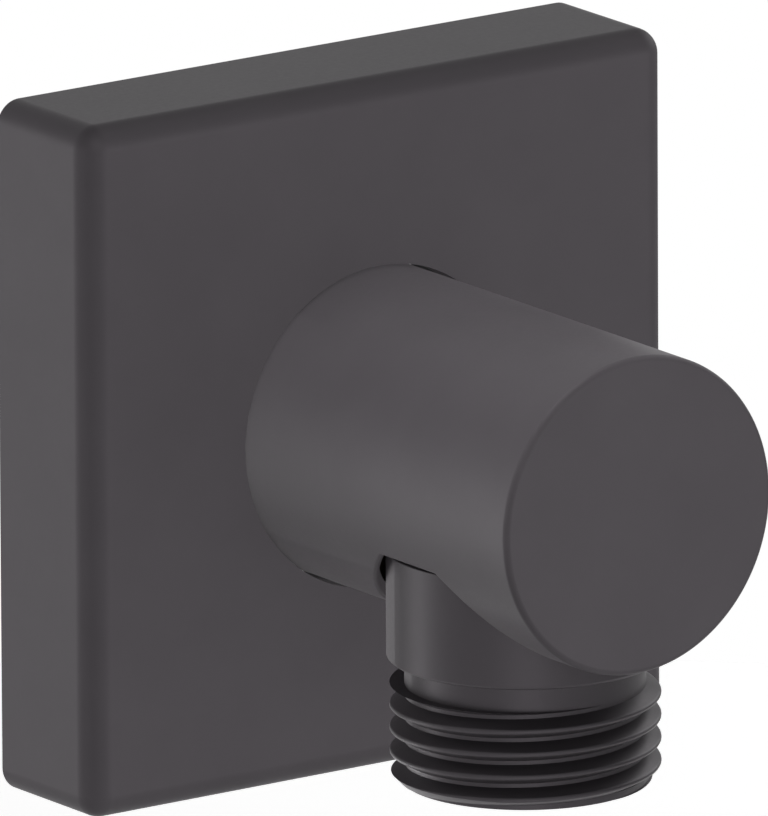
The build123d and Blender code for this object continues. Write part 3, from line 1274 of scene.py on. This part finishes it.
    def build_world(self) -> None:
        """White surroundings for the eye, and a softer level for the light that they shed."""
        world = bpy.data.worlds.new("white_studio")
        bpy.context.scene.world = world
        world.use_nodes = True
        tree = world.node_tree
        tree.nodes.clear()
        seen = self.add_seen(tree)
        # Reflections find the surroundings greyer on the right, as in the photograph
        direction = add_node(tree, "ShaderNodeTexCoord").outputs["Generated"]
        facing = add_node(
            tree,
            "ShaderNodeVectorMath",
            {0: direction, 1: self.dim_side},
            operation="DOT_PRODUCT",
        )
        dimmed = add_node(
            tree,
            "ShaderNodeMapRange",
            {
                "Value": facing.outputs["Value"],
                "From Min": self.dim_span[0],
                "From Max": self.dim_span[1],
                "To Min": 1.0,
                "To Max": self.dim_level,
            },
        )
        camera = add_node(tree, "ShaderNodeLightPath").outputs["Is Camera Ray"]
        level = add_node(
            tree, "ShaderNodeMath", {0: camera, 1: dimmed.outputs["Result"]}, operation="MAXIMUM"
        )
        white = add_node(
            tree, "ShaderNodeBackground", {"Color": WHITE, "Strength": level.outputs[0]}
        )
        soft = add_node(
            tree, "ShaderNodeBackground", {"Color": WHITE, "Strength": self.soft_level}
        )
        both = add_node(
            tree, "ShaderNodeMixShader", {0: seen, 1: soft.outputs[0], 2: white.outputs[0]}
        )
        add_node(tree, "ShaderNodeOutputWorld", {"Surface": both.outputs[0]})

    def build_softbox(self, softbox: Softbox) -> None:
        """Hang a soft lamp.

        Args:
            softbox: Its name, place, size and power.
        """
        light = bpy.data.lights.new(softbox.name, "AREA")
        light.shape = "SQUARE"
        light.size = softbox.side
        light.energy = softbox.watts
        lamp = bpy.data.objects.new(softbox.name, light)
        lamp.location = softbox.place
        lamp.rotation_euler = softbox.place.to_track_quat("Z", "Y").to_euler()
        lamp.visible_camera = False
        bpy.context.scene.collection.objects.link(lamp)
        if softbox.lit is not Lit.EVERYTHING:
            self.link_light(lamp, softbox.lit)

    def link_light(self, lamp: bpy.types.Object, lit: Lit) -> None:
        """Keep a lamp to its own forms, and let only those named here stand in its light.

        Args:
            lamp: The lamp.
            lit: The forms that it lights.
        """
        sleeve = [bpy.data.objects[self.sleeve_piece]]
        covered = [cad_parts[node] for node in self.covered_nodes]
        outlet = [bpy.data.objects[name] for name in self.outlet_pieces]
        outlet += [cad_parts[node] for node in self.outlet_nodes]
        # A group of blockers can't be empty, so the lock screw stands for nothing at all
        nothing = [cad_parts["lock_screw"]]
        receivers, state, blockers = {
            Lit.LARGE_FORMS: (outlet + covered, "EXCLUDE", nothing),
            Lit.SLEEVE: (sleeve, "INCLUDE", nothing),
            Lit.OUTLET: (outlet, "INCLUDE", outlet + sleeve),
        }[lit]
        lamp.light_linking.receiver_collection = self.new_group(f"{lamp.name}_lights", receivers)
        for entry in lamp.light_linking.receiver_collection.collection_objects:
            entry.light_linking.link_state = state
        lamp.light_linking.blocker_collection = self.new_group(f"{lamp.name}_blockers", blockers)

    @staticmethod
    def new_group(name: str, members: Sequence[bpy.types.Object]) -> bpy.types.Collection:
        """Collect some objects under a name."""
        group = bpy.data.collections.new(name)
        for member in members:
            group.objects.link(member)
        return group

    def build_camera(self) -> None:
        """Stand the camera at the photograph's view, with a long lens for its parallel look."""
        azimuth, elevation, roll = (
            math.radians(angle) for angle in (self.azimuth, self.elevation, self.roll)
        )
        turn = Matrix.Rotation(-azimuth, 4, "Z") @ Matrix.Rotation(math.pi / 2 - elevation, 4, "X")
        right, up, back = (turn.to_3x3().col[i].copy() for i in range(3))
        place = (right * self.across + up * self.above + back * self.distance) * MM
        data = bpy.data.cameras.new("photo_camera")
        data.lens = self.lens
        data.sensor_width = self.sensor
        data.clip_start, data.clip_end = self.clip
        camera = bpy.data.objects.new("photo_camera", data)
        camera.matrix_world = Matrix.Translation(place) @ turn @ Matrix.Rotation(-roll, 4, "Z")
        bpy.context.scene.collection.objects.link(camera)
        bpy.context.scene.camera = camera


def main() -> None:
    """Build the fitting piece by piece, then the studio round it."""
    logging.basicConfig(level=logging.INFO, format="%(name)s: %(message)s")
    finishes = Finishes()
    for part in (WallPlate, CoverSleeve, HoseOutlet, WallNipple, CheckValve, InnerElbow):
        part().build(finishes)
    Studio().build()


if __name__ == "__main__":
    main()
